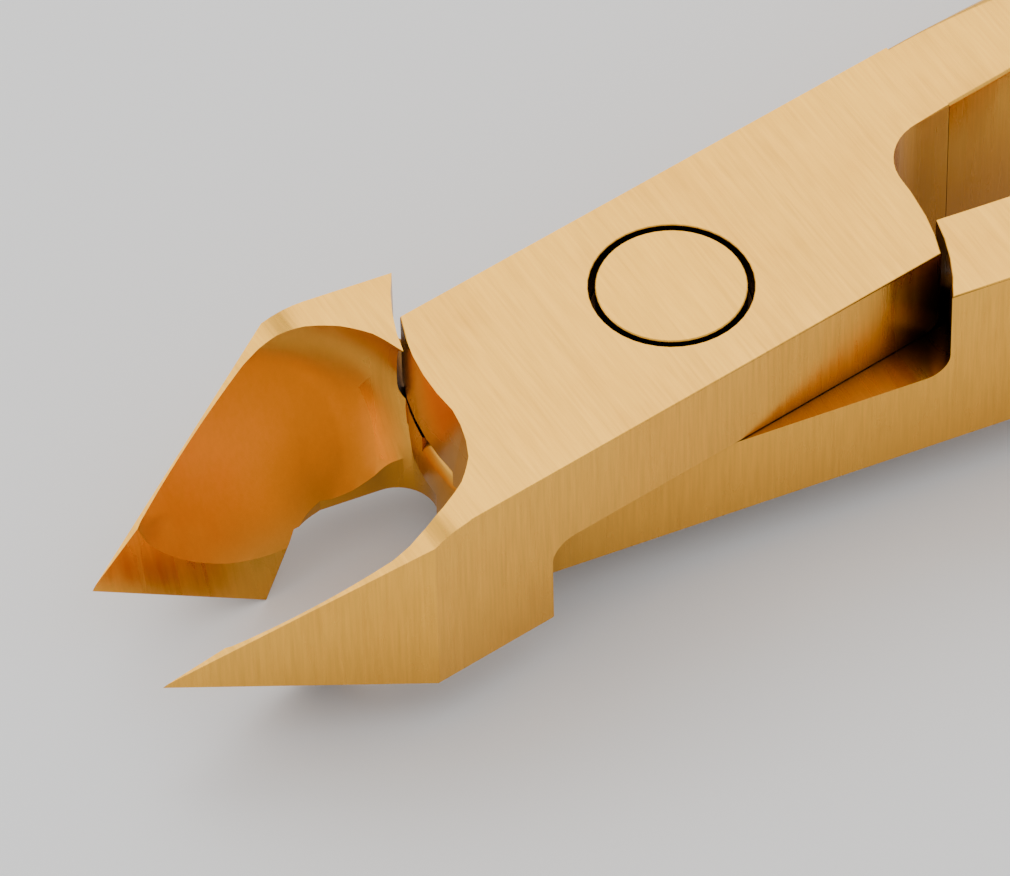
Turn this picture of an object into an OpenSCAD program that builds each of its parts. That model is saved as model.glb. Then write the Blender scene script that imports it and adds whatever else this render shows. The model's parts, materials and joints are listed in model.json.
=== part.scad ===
// Cuticle nipper: two crossed halves in a lap joint, a two-piece pivot and a pair of leaf springs.
// +Z is the pivot axis, +X points to the tips, z = 0 is the flat underside of the joint.
// Each half is drawn in its own frame, with its jaw on +Y and its handle on -Y, and then turned open.

/* [Joint] */
// Thickness of the joint and of the jaws' flat backs
joint_t = 6.72; // [6.5:0.01:7]
// Height of the plane in which the two laps meet
lap_z = 3.3; // [3.1:0.05:3.5]
// Running gap between the two lap faces
lap_gap = 0.04; // [0.02:0.01:0.08]
// Width of each half across its joint
joint_w = 8.3; // [8.2:0.05:8.4]
// Radius of the rounded ends of a lap plate
lap_r = 8.7; // [8.6:0.05:8.75]
// Radius of the shoulders that a lap plate turns between
shoulder_r = 8.92; // [8.9:0.01:9.1]
// Corner fillet between a shoulder and the lap seat
seat_fillet = 0.75; // [0.5:0.05:0.8]
// Angle between the two halves as drawn, with the jaws open
open_angle = 13.4; // [12:0.1:13.6]

/* [Jaws] */
// Distance from the pivot to the tip
tip_x = 20.06; // [20:0.01:20.1]
// Height of the tip
tip_z = 1.36; // [1.3:0.01:1.4]
// Distance from the pivot to the heel of the cutting edge
heel_x = 14.23; // [14.2:0.01:14.3]
// Height of the heel, below the joint's underside
heel_z = -1.79; // [-1.85:0.01:-1.7]
// Distance from the pivot to the upright crease on the outer side
crease_x = 12.39; // [12.3:0.01:12.5]
// Lean of the ground facet above the cutting edge
facet_lean = 21; // [20:0.5:22]
// Rise of the underside bevel for each millimetre outward
bevel_rise = 0.663; // [0.65:0.001:0.67]
// Radius of the bend from the flat back to the sloping rim
rim_bend_r = 3; // [2.5:0.1:3.5]
// Half width of the slot through the bottom of the hollow
slot_half = 1.36; // [1.3:0.01:1.4]
// Radius from the axis of the wheel that grinds the hollow to the middle of its round nose
hollow_r = 3.14; // [3.1:0.01:3.2]
// Radius of the wheel's round nose
hollow_nose_r = 2.88; // [2.8:0.01:2.9]
// Distance of the nose's middle from the wheel's middle, along the wheel's axis
hollow_shift = 1; // [0.95:0.01:1.05]
// Tip of the wheel's axis below the level
hollow_tip = 23.4; // [22.5:0.1:24]
// Turn of the wheel's axis from square to the jaw
hollow_turn = 12.7; // [12:0.1:13.5]

/* [Handles] */
// Width of a handle where it leaves the joint
root_w = 3.3; // [3.2:0.05:3.4]
// Radius of the crotch between a lap plate and the handle
crotch_r = 2; // [1.6:0.1:2.2]
// Largest corner radius on the outer side of a handle
outer_round = 2.05; // [1.6:0.05:2.1]
// Largest corner radius on the inner side of a handle
inner_round = 1.45; // [1:0.05:1.5]

/* [Pivot] */
// Radius of the blank pivot head
head_r = 2.44; // [2.4:0.01:2.5]
// Radius of the seat round the pivot head
head_seat_r = 2.65; // [2.6:0.01:2.7]
// Thickness of the pivot head
head_t = 1.2; // [1:0.1:1.4]
// Radius of the pivot post
post_r = 2; // [1.8:0.05:2.1]
// Radial running clearance round the post
post_play = 0.04; // [0.02:0.01:0.06]
// Radius of the pivot screw's thread
screw_r = 1; // [0.8:0.05:1.1]
// Thickness of the pivot screw's head
screw_head_t = 0.9; // [0.8:0.05:1]
// Radius of the two spanner holes in the pivot screw's head
spanner_r = 0.4; // [0.35:0.05:0.45]
// Distance of a spanner hole from the pivot axis
spanner_pitch = 1.6; // [1.55:0.05:1.7]

/* [Springs] */
// Thickness of a leaf spring
leaf_t = 0.55; // [0.5:0.01:0.6]
// Width of a leaf spring at its screw
leaf_w = 3.6; // [3.2:0.1:4]
// Width of a leaf spring at its end
leaf_end_w = 2.6; // [2.4:0.1:3]
// Width of the tongue that hooks into the other leaf's fork
tongue_w = 1; // [0.9:0.05:1.1]
// Width of the gap in the fork
fork_gap = 1.4; // [1.35:0.05:1.5]
// Radius of a spring screw's thread
stud_r = 0.9; // [0.8:0.05:1]
// Radius of a spring screw's head
stud_head_r = 1.5; // [1.4:0.05:1.6]

/* [Hidden] */
$fn = 96;

gold = [0.86, 0.67, 0.38];
steel = [0.72, 0.72, 0.74];

half_w = joint_w / 2;
// Angle of the cutting edge to the joint plane
edge_rise = atan2(tip_z - heel_z, tip_x - heel_x);
// Height left between the rim and the bevel at the very tip
tip_land = 0.05;
// Slope of the rim from the end of its bend to the tip, and where the bend starts
rim_slope = 32.8;
rim_drop = joint_t - tip_z - tip_land;
bend_run = rim_bend_r * sin(rim_slope);
bend_drop = rim_bend_r * (1 - cos(rim_slope));
flat_end_x = tip_x - bend_run - (rim_drop - bend_drop) / tan(rim_slope);
// Middle of the wheel that grinds the hollow
hollow_middle = [13.98, 0, 3.24];
// Room outside the part for cutting tools
over = 3;

// Curve through points: one stretch of a Catmull-Rom spline, and the whole curve in n steps
function stretch(p, i, u) =
    let (a = p[max(i - 1, 0)], b = p[i], c = p[i + 1], d = p[min(i + 2, len(p) - 1)])
    b + u * ((c - a) / 2 + u * (a - 2.5 * b + 2 * c - d / 2 + u * (1.5 * (b - c) + (d - a) / 2)));
function curve(p, n) = [
    for (k = [0 : n])
        let (s = k * (len(p) - 1) / n, i = min(floor(s), len(p) - 2))
        stretch(p, i, s - i)
];
function mix(a, b, u) = a + (b - a) * u;
function smooth(u) =
    let (c = min(max(u, 0), 1))
    c * c * (3 - 2 * c);

// A closed skin over rings of equal length, with a flat end at each side
module skin(rings) {
    m = len(rings[0]);
    n = len(rings);
    walls = [
        for (i = [0 : n - 2], j = [0 : m - 1])
            [i * m + j, i * m + (j + 1) % m, (i + 1) * m + (j + 1) % m, (i + 1) * m + j]
    ];
    triangles = [for (w = walls) each [[w[0], w[1], w[2]], [w[0], w[2], w[3]]]];
    ends = [[for (j = [m - 1 : -1 : 0]) j], [for (j = [0 : m - 1]) (n - 1) * m + j]];
    polyhedron([for (r = rings) each r], concat(triangles, ends));
}

/* ---- The jaw's hollow ---- */

// Shape left by a grinding wheel with a round nose, outside the lap plate. The nose is the
// overlap of balls on the wheel's axis, each of which touches the nose's arc at its own angle.
module hollow() {
    difference() {
        translate(hollow_middle) rotate([0, 0, -hollow_turn]) rotate([-90 - hollow_tip, 0, 0])
            intersection_for (a = [6, 17, 29, 42, 56, 72, 90])
                translate([0, 0, -hollow_shift - hollow_r / tan(a)])
                    sphere(hollow_nose_r + hollow_r / sin(a));
        translate([0, 0, -over]) cylinder(r = lap_r, h = joint_t + 3 * over);
    }
}

// Upright slot through the bottom of the hollow, pointed at the heel
module slot() {
    back = slot_half + 8.3;
    flank = curve([[13.33, 0.55], [12.85, 0.86], [12.3, 1.17], [11.75, slot_half]], 9);
    translate([0, 0, -over]) linear_extrude(1.6 + over) {
        translate([back, 0]) circle(slot_half);
        polygon(concat(
            [[back, -slot_half], [11.75, -slot_half], [heel_x, -0.4], [heel_x, 0]],
            flank,
            [[back, slot_half]]
        ));
    }
}

/* ---- The jaw's ground faces, as blocks that cut them ---- */

module underside_bevel() {
    beta = atan(bevel_rise * cos(edge_rise));
    translate([heel_x, 0, heel_z]) rotate([0, -edge_rise, 0]) rotate([beta, 0, 0])
        translate([-20, -5, -10]) cube([40, 20, 10]);
}

module heel_face() {
    intersection() {
        translate([-20, -10, -10]) cube([40, 20, 10]);
        translate([heel_x, 0, heel_z]) rotate([0, 54.9, 0]) rotate([-6.5, 0, 0])
            translate([-30, -15, -20]) cube([60, 30, 20]);
    }
}

module edge_facet() {
    translate([heel_x, 0, heel_z]) rotate([0, -edge_rise, 0]) rotate([-facet_lean, 0, 0])
        translate([-1, -10, -0.5]) cube([10, 10, 5]);
}

// Side outline of the jaw under its flat back and its sloping rim
module rim_profile() {
    tangent = [flat_end_x + bend_run, joint_t - bend_drop];
    union() {
        translate([flat_end_x, joint_t - rim_bend_r]) circle(rim_bend_r);
        polygon([
            [-20, -over], [-20, joint_t], [flat_end_x, joint_t], tangent,
            [tip_x, tip_z + tip_land], [tip_x, -over]
        ]);
    }
}

module jaw() {
    difference() {
        intersection() {
            translate([0, 0, -over]) linear_extrude(joint_t + over)
                polygon([[4, 0], [tip_x, 0], [crease_x, half_w], [4, half_w]]);
            rotate([90, 0, 0]) translate([0, 0, -10]) linear_extrude(20) rim_profile();
        }
        underside_bevel();
        heel_face();
        edge_facet();
    }
}

/* ---- The handle ---- */

// Middle line of a handle: distance behind the pivot, distance outward, height
handle_points = [
    [-10, -2.5, 3.36], [-12.5, -2.5, 3.36], [-15, -2.54, 3.36], [-18, -2.78, 3.35], [-23, -3.75, 3.28],
    [-30, -5.65, 3.1], [-40, -8.1, 2.75], [-52, -10.1, 2.25], [-66, -10.9, 1.65], [-80, -9.9, 1.05],
    [-93.5, -7.3, 0.5]
];
// Width and depth of the handle at the same points
handle_sizes = [
    [root_w, joint_t], [root_w, joint_t], [root_w, joint_t], [3.36, 6.6], [3.46, 6.2],
    [3.62, 5.9], [3.95, 5.6], [4.3, 5.4], [4.45, 5.2], [4.3, 4.9],
    [4.1, 4.55]
];
handle_steps = 36;
tip_steps = 4;
corner_steps = 4;
// Corner radius where the handle starts
root_round = 0.12;
// Tiny step where the handle starts inside the joint's block
tuck = 0.012;

// Points round a corner of radius r with its centre at c, from angle a, over a quarter turn
function corner(c, r, a) = [
    for (k = [0 : corner_steps])
        c + r * [cos(a + 90 * k / corner_steps), sin(a + 90 * k / corner_steps)]
];

// Section of a handle, first axis outward from its middle line and second axis up
function handle_section(w, h, ro, ri) =
    concat(
        corner([w / 2 - ro, h / 2 - ro], ro, 0),
        corner([ri - w / 2, h / 2 - ri], ri, 90),
        corner([ri - w / 2, ri - h / 2], ri, 180),
        corner([w / 2 - ro, ro - h / 2], ro, 270)
    );

function heading(p, k) =
    let (d = p[min(k + 1, len(p) - 1)] - p[max(k - 1, 0)])
    atan2(d[1], d[0]);

// A section placed at point c, square to the direction a
function place(section, c, a) = [
    for (q = section) [c[0] + q[0] * sin(a), c[1] - q[0] * cos(a), c[2] + q[1]]
];

module handle() {
    line = curve(handle_points, handle_steps);
    sizes = curve(handle_sizes, handle_steps);
    bar = [
        for (k = [0 : handle_steps])
            let (
                x = -line[k][0],
                ro = mix(root_round, outer_round, smooth((x - 12.5) / 13)),
                ri = mix(root_round, inner_round, smooth((x - 14) / 20)),
                s = sizes[k] - [2 * tuck, 2 * tuck]
            )
            place(handle_section(s[0], s[1], ro, ri), line[k], heading(line, k) + 180)
    ];
    last = line[handle_steps];
    dir = heading(line, handle_steps);
    size = sizes[handle_steps] - [2 * tuck, 2 * tuck];
    cap = [
        for (k = [1 : tip_steps])
            let (
                u = k / tip_steps * 0.98,
                f = sqrt(1 - u * u),
                c = last + 2.1 * u * [cos(dir), sin(dir), 0]
            )
            place(
                handle_section(size[0] * f, size[1] * f, outer_round * f, inner_round * f), c, dir + 180
            )
    ];
    rings = concat(bar, cap);
    skin([for (k = [len(rings) - 1 : -1 : 0]) rings[k]]);
}

/* ---- One half, in its own frame ---- */

module half_plan() {
    // Lap plate
    intersection() {
        circle(lap_r);
        translate([-20, -half_w]) square([40, joint_w]);
    }
    // Root of the handle
    translate([-12, -half_w]) square([10, root_w]);
}

// Crotch between the lap plate and the handle
module crotch_plan() {
    y = root_w - half_w + crotch_r;
    x = -sqrt((lap_r + crotch_r) ^ 2 - y ^ 2);
    touch = [x, y] * lap_r / (lap_r + crotch_r);
    difference() {
        polygon([
            [x, root_w - half_w - 0.5], [x, y], touch, [-6, 0.5], [-6, root_w - half_w - 0.5]
        ]);
        translate([x, y]) circle(crotch_r);
    }
}

// Space that the other half's lap plate turns in, below height z
module lap_space(z) {
    rotate_extrude() {
        square([shoulder_r, z + over - seat_fillet]);
        square([shoulder_r - seat_fillet, z + over]);
        translate([shoulder_r - seat_fillet, z + over - seat_fillet]) intersection() {
            circle(seat_fillet);
            square(seat_fillet);
        }
    }
}

// Rounding of the two free ends of a lap plate, next to the lap face
module end_rounding() {
    r = seat_fillet - 0.15;
    for (start = [-32, 148]) rotate([0, 0, start]) rotate_extrude(angle = 31.8)
        translate([lap_r - r, 0]) difference() {
            translate([0, -1]) square([r + 0.5, 1 + r]);
            translate([0.015, r - 0.015]) circle(r);
        }
}

// Bores for the post, one seat for its head and one for its screw
module pivot_holes(upper) {
    translate([0, 0, -over]) cylinder(r = post_r + post_play, h = joint_t + 2 * over);
    if (upper) translate([0, 0, joint_t - head_t - 0.03]) cylinder(r = head_seat_r, h = over);
    if (!upper) translate([0, 0, -over]) cylinder(r = head_seat_r, h = over + screw_head_t + 0.05);
}

module half_solid(upper) {
    seat = lap_z + (upper ? lap_gap / 2 : -lap_gap / 2);
    difference() {
        union() {
            linear_extrude(joint_t) half_plan();
            translate([0, 0, upper ? seat : 0]) linear_extrude(upper ? joint_t - seat : seat) crotch_plan();
            jaw();
            handle();
        }
        if (upper) {
            translate([0, 0, -over]) lap_space(seat);
            translate([0, 0, seat]) end_rounding();
        } else {
            translate([0, 0, joint_t + over]) mirror([0, 0, 1]) lap_space(joint_t - seat);
            translate([0, 0, seat]) mirror([0, 0, 1]) end_rounding();
        }
        hollow();
        slot();
        pivot_holes(upper);
        leaf_seat();
    }
}

/* ---- Leaf springs and their screws, in the same frame ---- */

// Where the screw's axis meets the seat, and the direction of the seat, pointing to the handle's end
pad = [-23.5, -2.6];
pad_dir = 192;
pad_front = 4;
pad_back = 4.5;
seat_run_out = 3;
// Bend after the pad, and the long gentle bow to the end
bend_turn = 24;
bend_r = 6;
bow_turn = 22;
bow_r = 60;

function unit(a) = [cos(a), sin(a)];
// Centre and end of an arc that starts at p in direction a and turns clockwise by t
function arc_centre(p, a, r) = p + r * unit(a - 90);
function arc_points(p, a, r, t, n) =
    let (c = arc_centre(p, a, r))
    [for (k = [0 : n]) c - r * unit(a - 90 - t * k / n)];

// Middle line of the leaf from its pad to its end
function leaf_line(extra) =
    let (
        n = unit(pad_dir - 90) * leaf_t / 2,
        p0 = pad + n - pad_front * unit(pad_dir),
        p1 = pad + n + pad_back * unit(pad_dir),
        b = arc_points(p1, pad_dir, bend_r, bend_turn, 8),
        w = arc_points(b[8], pad_dir - bend_turn, bow_r, bow_turn, 20),
        e = pad_dir - bend_turn - bow_turn
    )
    concat([p0], b, [for (k = [1 : 20]) w[k]], [w[20] + extra * unit(e)]);

module leaf_band(extra) {
    line = leaf_line(extra);
    m = len(line);
    side = [for (k = [0 : m - 1]) heading(line, k) + 90];
    polygon(concat(
        [for (k = [0 : m - 1]) line[k] + leaf_t / 2 * unit(side[k])],
        [for (k = [m - 1 : -1 : 0]) line[k] - leaf_t / 2 * unit(side[k])]
    ));
}

leaf_mid_z = 3.1;
leaf_start_x = pad[0] + pad_front + 0.3;
end_x = leaf_line(0)[len(leaf_line(0)) - 1][0];

// Face outline of the leaf, with a tongue or a fork at its end, seen along its thickness
module leaf_face(fork) {
    difference() {
        union() {
            polygon([
                [leaf_start_x, -leaf_w / 2], [leaf_start_x, leaf_w / 2],
                [-31, leaf_w / 2], [end_x + 1.5, leaf_end_w / 2],
                [end_x + 1.5, -leaf_end_w / 2], [-31, -leaf_w / 2]
            ]);
            if (fork) translate([end_x - 2, -leaf_end_w / 2]) square([4, leaf_end_w]);
            if (!fork) {
                translate([end_x - 1.2, -tongue_w / 2]) square([4, tongue_w]);
                translate([end_x - 1.2, 0]) circle(tongue_w / 2);
            }
        }
        if (fork) translate([end_x - 4, -fork_gap / 2]) square([5, fork_gap]);
    }
}

module leaf_solid(fork) {
    difference() {
        intersection() {
            linear_extrude(2 * joint_t) leaf_band(fork ? 1.0 : 1.6);
            translate([0, 0, leaf_mid_z]) rotate([90, 0, 0]) linear_extrude(60, center = true)
                leaf_face(fork);
        }
        stud_axis() translate([0, 0, -over]) cylinder(r = stud_r + 0.1, h = 3 * over);
    }
}

// Frame whose +Z leaves the handle square to the seat, with its origin on the seat
module stud_axis() {
    translate([pad[0], pad[1], leaf_mid_z]) rotate([0, 0, pad_dir - 90]) rotate([0, 90, 0]) children();
}

// Flat seat and tapped hole in the handle's inner side
module leaf_seat() {
    stud_axis() {
        translate([-5, -pad_front - 0.3, 0]) cube([10, pad_front + pad_back + 0.3 + seat_run_out, over]);
        translate([0, 0, -2.5]) cylinder(r = stud_r + 0.02, h = 2.6);
    }
}

module stud() {
    stud_axis() {
        translate([0, 0, -2.3]) cylinder(r = stud_r, h = 2.3 + leaf_t + 0.1);
        difference() {
            translate([0, 0, leaf_t + 0.01]) {
                cylinder(r = stud_head_r, h = 0.55);
                translate([0, 0, 0.55]) cylinder(r1 = stud_head_r, r2 = stud_head_r - 0.3, h = 0.2, $fn = 48);
            }
            translate([-3, -0.2, leaf_t + 0.4]) cube([6, 0.4, 1]);
        }
    }
}

/* ---- The two halves' places ---- */

module front_side() {
    rotate([0, 0, open_angle / 2]) children();
}

module back_side() {
    rotate([0, 0, -open_angle / 2]) mirror([0, 1, 0]) children();
}

/* ---- Nodes ---- */

module front_half() {
    color(gold) front_side() half_solid(true);
}

module back_half() {
    color(gold) back_side() half_solid(false);
}

module pivot_post() {
    shoulder_z = joint_t - head_t;
    foot_z = screw_head_t + 0.3;
    color(gold) difference() {
        union() {
            translate([0, 0, shoulder_z]) cylinder(r = head_r, h = head_t);
            translate([0, 0, foot_z]) cylinder(r = post_r, h = shoulder_z - foot_z);
        }
        translate([0, 0, foot_z - 1]) cylinder(r = screw_r + 0.02, h = shoulder_z - foot_z + 0.4);
    }
}

module pivot_screw() {
    color(gold) difference() {
        union() {
            cylinder(r = head_r, h = screw_head_t);
            cylinder(r = screw_r, h = 4);
        }
        // Two holes for a pin spanner
        for (side = [-1, 1]) translate([0, side * spanner_pitch, -1]) cylinder(r = spanner_r, h = 1.6);
    }
}

module front_leaf_spring() {
    color(gold) front_side() leaf_solid(true);
}

module back_leaf_spring() {
    color(gold) back_side() leaf_solid(false);
}

module front_spring_screw() {
    color(steel) front_side() stud();
}

module back_spring_screw() {
    color(steel) back_side() stud();
}

front_half();
back_half();
pivot_post();
pivot_screw();
front_leaf_spring();
back_leaf_spring();
front_spring_screw();
back_spring_screw();
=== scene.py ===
"""Looks of the cuticle nipper: gold-coated brushed steel on a pale floor."""

import json
import math

import bmesh
import bpy
from mathutils import Matrix, Vector


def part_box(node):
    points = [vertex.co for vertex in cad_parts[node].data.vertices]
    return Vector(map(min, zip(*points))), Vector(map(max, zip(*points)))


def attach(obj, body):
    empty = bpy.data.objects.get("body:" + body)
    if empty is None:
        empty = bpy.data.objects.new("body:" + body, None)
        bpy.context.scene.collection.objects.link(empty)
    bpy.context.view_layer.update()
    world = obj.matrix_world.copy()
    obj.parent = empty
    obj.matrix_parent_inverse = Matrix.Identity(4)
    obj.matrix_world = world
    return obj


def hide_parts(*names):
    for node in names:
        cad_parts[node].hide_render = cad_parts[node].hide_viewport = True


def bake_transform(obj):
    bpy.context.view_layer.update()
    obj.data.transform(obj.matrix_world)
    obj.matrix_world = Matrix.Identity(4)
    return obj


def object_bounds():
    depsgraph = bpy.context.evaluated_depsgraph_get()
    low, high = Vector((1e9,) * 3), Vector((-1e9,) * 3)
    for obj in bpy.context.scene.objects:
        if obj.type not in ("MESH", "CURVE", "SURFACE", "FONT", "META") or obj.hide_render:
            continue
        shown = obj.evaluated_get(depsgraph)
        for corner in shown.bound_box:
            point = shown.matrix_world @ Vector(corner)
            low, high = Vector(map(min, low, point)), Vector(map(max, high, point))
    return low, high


MM = 0.001

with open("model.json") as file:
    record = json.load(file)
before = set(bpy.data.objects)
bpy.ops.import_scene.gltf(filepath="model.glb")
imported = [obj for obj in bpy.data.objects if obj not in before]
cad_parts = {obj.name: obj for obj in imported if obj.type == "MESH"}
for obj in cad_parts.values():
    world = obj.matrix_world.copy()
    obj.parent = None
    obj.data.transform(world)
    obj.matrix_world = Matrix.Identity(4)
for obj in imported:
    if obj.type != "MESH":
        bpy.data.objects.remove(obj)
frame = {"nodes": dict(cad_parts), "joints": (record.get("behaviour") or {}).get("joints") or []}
nodes = frame["nodes"]
bounds_loaded = [list(corner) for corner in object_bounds()]

# ---- Materials ----

# Colours of the coating on each kind of piece
GOLD = (0.94, 0.48, 0.06)
GOLD_HEAD = (0.94, 0.48, 0.055)
GOLD_SPRING = (0.92, 0.46, 0.045)
GOLD_SCREW = (0.92, 0.48, 0.07)

# Painted shade in the gaps: its colour, how far round it looks, and its full and clear openness
GAP_SHADE = (0.07, 0.032, 0.014)
GAP_REACH = 3 * MM
GAP_OPENNESS = (0.26, 0.64)
# Painted shade in deep hollows: the share of the coating's colour left, and the same measures
DEEP_SHADE = (0.48, 0.43, 0.5)
DEEP_REACH = 7 * MM
DEEP_OPENNESS = (0.25, 0.95)
RECESS_SAMPLES = 8

# Slow clouds from handling: how many for each metre, and the tint where they are thickest
CLOUD_SCALE = 260.0
CLOUD_TINT = (0.97, 0.93, 0.86, 1)
# Patches of polish are coarser than the grain by this
BROAD_SCALE = 0.23

# Colour sockets of the Mix node
MIX_SHARE, MIX_A, MIX_B, MIX_OUT = 0, 6, 7, 2

# Grain of a brushed face: lines for each metre along the tool, outward and up
GRAIN = (9000, 420, 420)
# Grain of a leaf spring runs along it
SPRING_GRAIN = (500, 6000, 9000)
# Faint turning marks have no direction at this scale
FINE_GRAIN = (6000, 6000, 2500)


def link(tree, source, output, target, socket):
    tree.links.new(source.outputs[output], target.inputs[socket])


def noise(tree, coordinates, output, scale, detail, roughness=0.55):
    n = tree.nodes.new("ShaderNodeTexNoise")
    n.inputs["Scale"].default_value = scale
    n.inputs["Detail"].default_value = detail
    n.inputs["Roughness"].default_value = roughness
    link(tree, coordinates, output, n, "Vector")
    return n


def map_range(tree, source, output, low, high, to_low, to_high):
    m = tree.nodes.new("ShaderNodeMapRange")
    m.inputs["From Min"].default_value = low
    m.inputs["From Max"].default_value = high
    m.inputs["To Min"].default_value = to_low
    m.inputs["To Max"].default_value = to_high
    link(tree, source, output, m, "Value")
    return m


def recess(tree, reach, openness):
    """From 0 where little of the surroundings is open within reach to 1 on an open face."""
    closed, open_ = openness
    seen = tree.nodes.new("ShaderNodeAmbientOcclusion")
    seen.inputs["Distance"].default_value = reach
    seen.samples = RECESS_SAMPLES
    return map_range(tree, seen, "AO", closed, open_, 0.0, 1.0)


def brushed_metal(name, colour, grain, rough, grain_depth, contrast=1):
    """Metal with a fine grain in its bump, tone and roughness, slow clouds from handling, and painted
    shade in its hollows and gaps.
    """
    mat = bpy.data.materials.new(name)
    mat.use_nodes = True
    tree = mat.node_tree
    shader = tree.nodes["Principled BSDF"]
    shader.inputs["Metallic"].default_value = 1.0
    place = tree.nodes.new("ShaderNodeTexCoord")
    stretched = tree.nodes.new("ShaderNodeMapping")
    stretched.inputs["Scale"].default_value = grain
    link(tree, place, "Object", stretched, "Vector")
    lines = noise(tree, stretched, "Vector", 1.0, 4.0, 0.6)
    broad = noise(tree, stretched, "Vector", BROAD_SCALE, 2.0)
    clouds = noise(tree, place, "Object", CLOUD_SCALE, 3.0)

    tone = tree.nodes.new("ShaderNodeMix")
    tone.data_type = "RGBA"
    tone.inputs[MIX_A].default_value = (*[c * (1 - 0.14 * contrast) for c in colour], 1)
    tone.inputs[MIX_B].default_value = (*[c * (1 + 0.05 * contrast) for c in colour], 1)
    share = map_range(tree, lines, "Fac", 0.3, 0.7, 0.0, 1.0)
    link(tree, share, "Result", tone, MIX_SHARE)
    cast = tree.nodes.new("ShaderNodeMix")
    cast.data_type = "RGBA"
    cast.blend_type = "MULTIPLY"
    cast.inputs[MIX_B].default_value = CLOUD_TINT
    cloud_share = map_range(tree, clouds, "Fac", 0.4, 0.75, 0.0, 0.8 * contrast)
    link(tree, cloud_share, "Result", cast, MIX_SHARE)
    link(tree, tone, MIX_OUT, cast, MIX_A)

    # Painted shade: hollows are darkened where less light gets deep into them, and narrow gaps are
    # painted near black.
    deep = recess(tree, DEEP_REACH, DEEP_OPENNESS)
    shade = tree.nodes.new("ShaderNodeMix")
    shade.data_type = "RGBA"
    shade.inputs[MIX_A].default_value = (*[c * t for c, t in zip(colour, DEEP_SHADE)], 1)
    link(tree, deep, "Result", shade, MIX_SHARE)
    link(tree, cast, MIX_OUT, shade, MIX_B)
    # Painted shade: near black where the surroundings are closed within the gap's reach
    gap = recess(tree, GAP_REACH, GAP_OPENNESS)
    gap_shade = tree.nodes.new("ShaderNodeMix")
    gap_shade.data_type = "RGBA"
    gap_shade.inputs[MIX_A].default_value = (*GAP_SHADE, 1)
    link(tree, gap, "Result", gap_shade, MIX_SHARE)
    link(tree, shade, MIX_OUT, gap_shade, MIX_B)
    link(tree, gap_shade, MIX_OUT, shader, "Base Color")

    shiny, dull = rough - 0.05 * contrast, rough + 0.07 * contrast
    polish = map_range(tree, broad, "Fac", 0.3, 0.7, shiny, dull)
    smudge = tree.nodes.new("ShaderNodeMath")
    smudge.operation = "ADD"
    link(tree, polish, "Result", smudge, 0)
    greasy = map_range(tree, clouds, "Fac", 0.45, 0.7, -0.02, 0.05)
    link(tree, greasy, "Result", smudge, 1)
    link(tree, smudge, "Value", shader, "Roughness")

    bump = tree.nodes.new("ShaderNodeBump")
    bump.inputs["Strength"].default_value = 1.0
    bump.inputs["Distance"].default_value = grain_depth
    link(tree, lines, "Fac", bump, "Height")
    link(tree, bump, "Normal", shader, "Normal")
    return mat


gold_steel = brushed_metal("gold_steel", GOLD, GRAIN, 0.27, 0.0035 * MM)
pivot_gold = brushed_metal("pivot_gold", GOLD_HEAD, GRAIN, 0.25, 0.003 * MM)
spring_gold = brushed_metal("spring_gold", GOLD_SPRING, SPRING_GRAIN, 0.3, 0.002 * MM)
ground_gold = brushed_metal("ground_gold", GOLD, FINE_GRAIN, 0.32, 0.0003 * MM, 0.3)
screw_gold = brushed_metal("screw_gold", GOLD_SCREW, FINE_GRAIN, 0.24, 0.0015 * MM)

# ---- The pieces ----

# The jaws are in front of this
JAW_START = 8.8 * MM
# Edges sharper than these stay crisp: on the jaws, round a flat face of the jaws, and elsewhere
JAW_CREASE = math.radians(15)
FLAT_CREASE = math.radians(3)
CREASE = math.radians(28)
# A jaw's face larger than this is flat, and not part of its hollow
FLAT_AREA = 2 * MM**2
# A face of the hollow turns at least this far inward
INWARD = 0.05
# Points closer than this are one, and faces closer in direction than this are one flat face
WELD = 0.01 * MM
SAME_FACE = math.radians(0.3)
# Edges sharper than this are broken by a fine bevel
BROKEN = math.radians(38)
# A blade's edge is keener than this, and isn't broken
KEEN = math.radians(105)
# No bevel fits a face's corner that is narrower than this
NARROW = math.radians(25)


def on_jaw(element):
    return min(v.co.x for v in element.verts) > JAW_START


def has_room(edge, width):
    """Can the edge be broken? Not a blade's, nor beside a ground face, short edge or narrow corner."""
    if on_jaw(edge) and edge.calc_face_angle(0) > KEEN:
        return False
    if any(face.material_index for face in edge.link_faces):
        return False
    corners = [c for v in edge.verts for c in v.link_loops]
    near = min(c.edge.calc_length() for c in corners)
    return near > 3 * width and min(c.calc_angle() for c in corners) > NARROW


def is_ground(face, inward):
    """Is the face in the jaw's hollow, which the wheel leaves smooth?"""
    return on_jaw(face) and face.calc_area() < FLAT_AREA and face.normal.y * inward > INWARD


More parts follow.
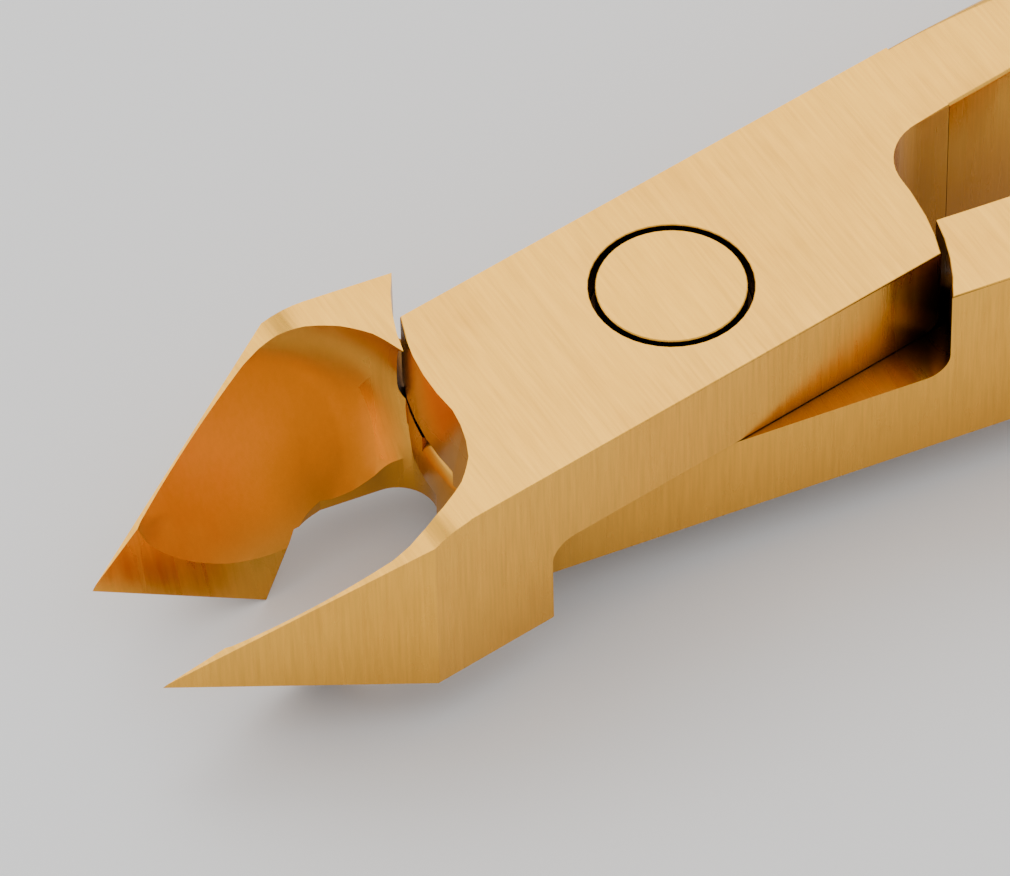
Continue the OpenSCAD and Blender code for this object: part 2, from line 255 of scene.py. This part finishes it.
def refined(node, name, material, edge_w, inward=0):
    """A piece with a node's shape: flat faces whole, edges broken by edge_w, curves smooth."""
    mesh = nodes[node].data.copy()
    mesh.name = name
    piece = bpy.data.objects.new(name, mesh)
    bpy.context.scene.collection.objects.link(piece)
    if "custom_normal" in mesh.attributes:
        mesh.attributes.remove(mesh.attributes["custom_normal"])
    mesh.materials.clear()
    mesh.materials.append(material)
    if inward:
        mesh.materials.append(ground_gold)
    body = bmesh.new()
    body.from_mesh(mesh)
    bmesh.ops.remove_doubles(body, verts=body.verts, dist=WELD)
    bmesh.ops.dissolve_limit(body, angle_limit=SAME_FACE, verts=body.verts, edges=body.edges)
    weight = body.edges.layers.float.new("bevel_weight_edge")
    for face in body.faces:
        face.smooth = True
        face.material_index = 1 if inward and is_ground(face, inward) else 0
    for edge in body.edges:
        angle = edge.calc_face_angle(0)
        limit = CREASE
        if on_jaw(edge):
            flat = any(f.calc_area() > FLAT_AREA for f in edge.link_faces)
            limit = FLAT_CREASE if flat else JAW_CREASE
        edge.smooth = angle < limit
        edge[weight] = 1.0 if angle > BROKEN and has_room(edge, edge_w) else 0.0
    body.to_mesh(mesh)
    body.free()
    bevel = piece.modifiers.new("broken_edges", "BEVEL")
    bevel.width = edge_w
    bevel.segments = 3
    bevel.limit_method = "WEIGHT"
    bevel.use_clamp_overlap = False
    bevel.harden_normals = True
    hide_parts(node)
    return piece


# Widths of the broken edges
HALF_EDGE = 0.05 * MM
PIVOT_EDGE = 0.06 * MM
SCREW_EDGE = 0.04 * MM
LEAF_EDGE = 0.05 * MM

front_half = refined(
    "front_half", "front_half_forging", gold_steel, HALF_EDGE, inward=-1
)
back_half = refined(
    "back_half", "back_half_forging", gold_steel, HALF_EDGE, inward=1
)
pivot_head = refined("pivot_post", "pivot_post_turned", pivot_gold, PIVOT_EDGE)
pivot_foot = refined("pivot_screw", "pivot_screw_turned", pivot_gold, PIVOT_EDGE)
front_screw = refined(
    "front_spring_screw", "front_spring_screw_turned", screw_gold, SCREW_EDGE
)
back_screw = refined(
    "back_spring_screw", "back_spring_screw_turned", screw_gold, SCREW_EDGE
)
front_leaf = refined(
    "front_leaf_spring", "front_leaf_strip", spring_gold, LEAF_EDGE
)
back_leaf = refined("back_leaf_spring", "back_leaf_strip", spring_gold, LEAF_EDGE)

for piece, body in (
    (front_half, "front_side"),
    (front_screw, "front_side"),
    (back_half, "back_side"),
    (pivot_head, "back_side"),
    (pivot_foot, "back_side"),
    (back_screw, "back_side"),
):
    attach(piece, body)

# Each leaf's placement is baked into its mesh, and the position of its bend's joint is read.
joints = {j["name"]: j for j in frame["joints"]}
for piece, handle, leaf, joint in (
    (front_leaf, "front_side", "front_leaf", "front_leaf_bend"),
    (back_leaf, "back_side", "back_leaf", "back_leaf_bend"),
):
    start = Vector(joints[joint]["pos_m"])
    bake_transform(piece)

# ---- Floor ----

FLOOR_HALF = 3
FLOOR_GAP = 0.02 * MM

low = Vector(bounds_loaded[0])
floor_mesh = bpy.data.meshes.new("floor")
floor_body = bmesh.new()
bmesh.ops.create_grid(floor_body, x_segments=2, y_segments=2, size=FLOOR_HALF)
floor_body.to_mesh(floor_mesh)
floor_body.free()
floor = bpy.data.objects.new("floor", floor_mesh)
floor.location = (0, 0, low.z - FLOOR_GAP)
bpy.context.scene.collection.objects.link(floor)
floor_mat = bpy.data.materials.new("pale_floor")
floor_mat.use_nodes = True
floor_shader = floor_mat.node_tree.nodes["Principled BSDF"]
floor_shader.inputs["Base Color"].default_value = (0.93, 0.93, 0.93, 1)
floor_shader.inputs["Roughness"].default_value = 0.9
floor_mesh.materials.append(floor_mat)

# ---- Light ----


def softbox(name, place, size, watts, target=(0, 0, 0)):
    data = bpy.data.lights.new(name, "AREA")
    data.shape = "RECTANGLE"
    data.size, data.size_y = size
    data.energy = watts
    lamp = bpy.data.objects.new(name, data)
    lamp.location = place
    lamp.rotation_euler = (Vector(target) - Vector(place)).to_track_quat("-Z", "Y").to_euler()
    bpy.context.scene.collection.objects.link(lamp)


world = bpy.data.worlds.new("studio")
world.use_nodes = True
world.node_tree.nodes["Background"].inputs["Color"].default_value = (1, 1, 1, 1)
world.node_tree.nodes["Background"].inputs["Strength"].default_value = 1.0
bpy.context.scene.world = world
softbox("overhead", (-0.26, -0.47, 0.59), (0.6, 0.6), 1.75)
softbox("front", (0.43, -0.47, 0.5), (0.35, 0.35), 0.65)

# ---- Camera, at the photograph's viewing angle ----

AZIMUTH, ELEVATION, ROLL = (math.radians(a) for a in (151.12, 47.756, 1.522))
LENS = 296.55
# The pivot head's middle, seen from the camera
PIVOT_SEEN = Vector((5.283, 4.855, -264.1)) * MM

level = Vector((math.cos(AZIMUTH), math.sin(AZIMUTH), 0))
forward = Vector(
    (
        -math.sin(AZIMUTH) * math.cos(ELEVATION),
        math.cos(AZIMUTH) * math.cos(ELEVATION),
        -math.sin(ELEVATION),
    )
)
rise = level.cross(forward)
right = math.cos(ROLL) * level - math.sin(ROLL) * rise
up = math.sin(ROLL) * level + math.cos(ROLL) * rise
pivot_top = Vector((0, 0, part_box("pivot_post")[1].z))
turn = Matrix((right, up, -forward)).transposed()

camera = bpy.data.objects.new("camera", bpy.data.cameras.new("camera"))
camera.data.lens = LENS
camera.data.clip_start = 0.01
camera.matrix_world = Matrix.Translation(pivot_top - turn @ PIVOT_SEEN) @ turn.to_4x4()
bpy.context.scene.collection.objects.link(camera)
bpy.context.scene.camera = camera
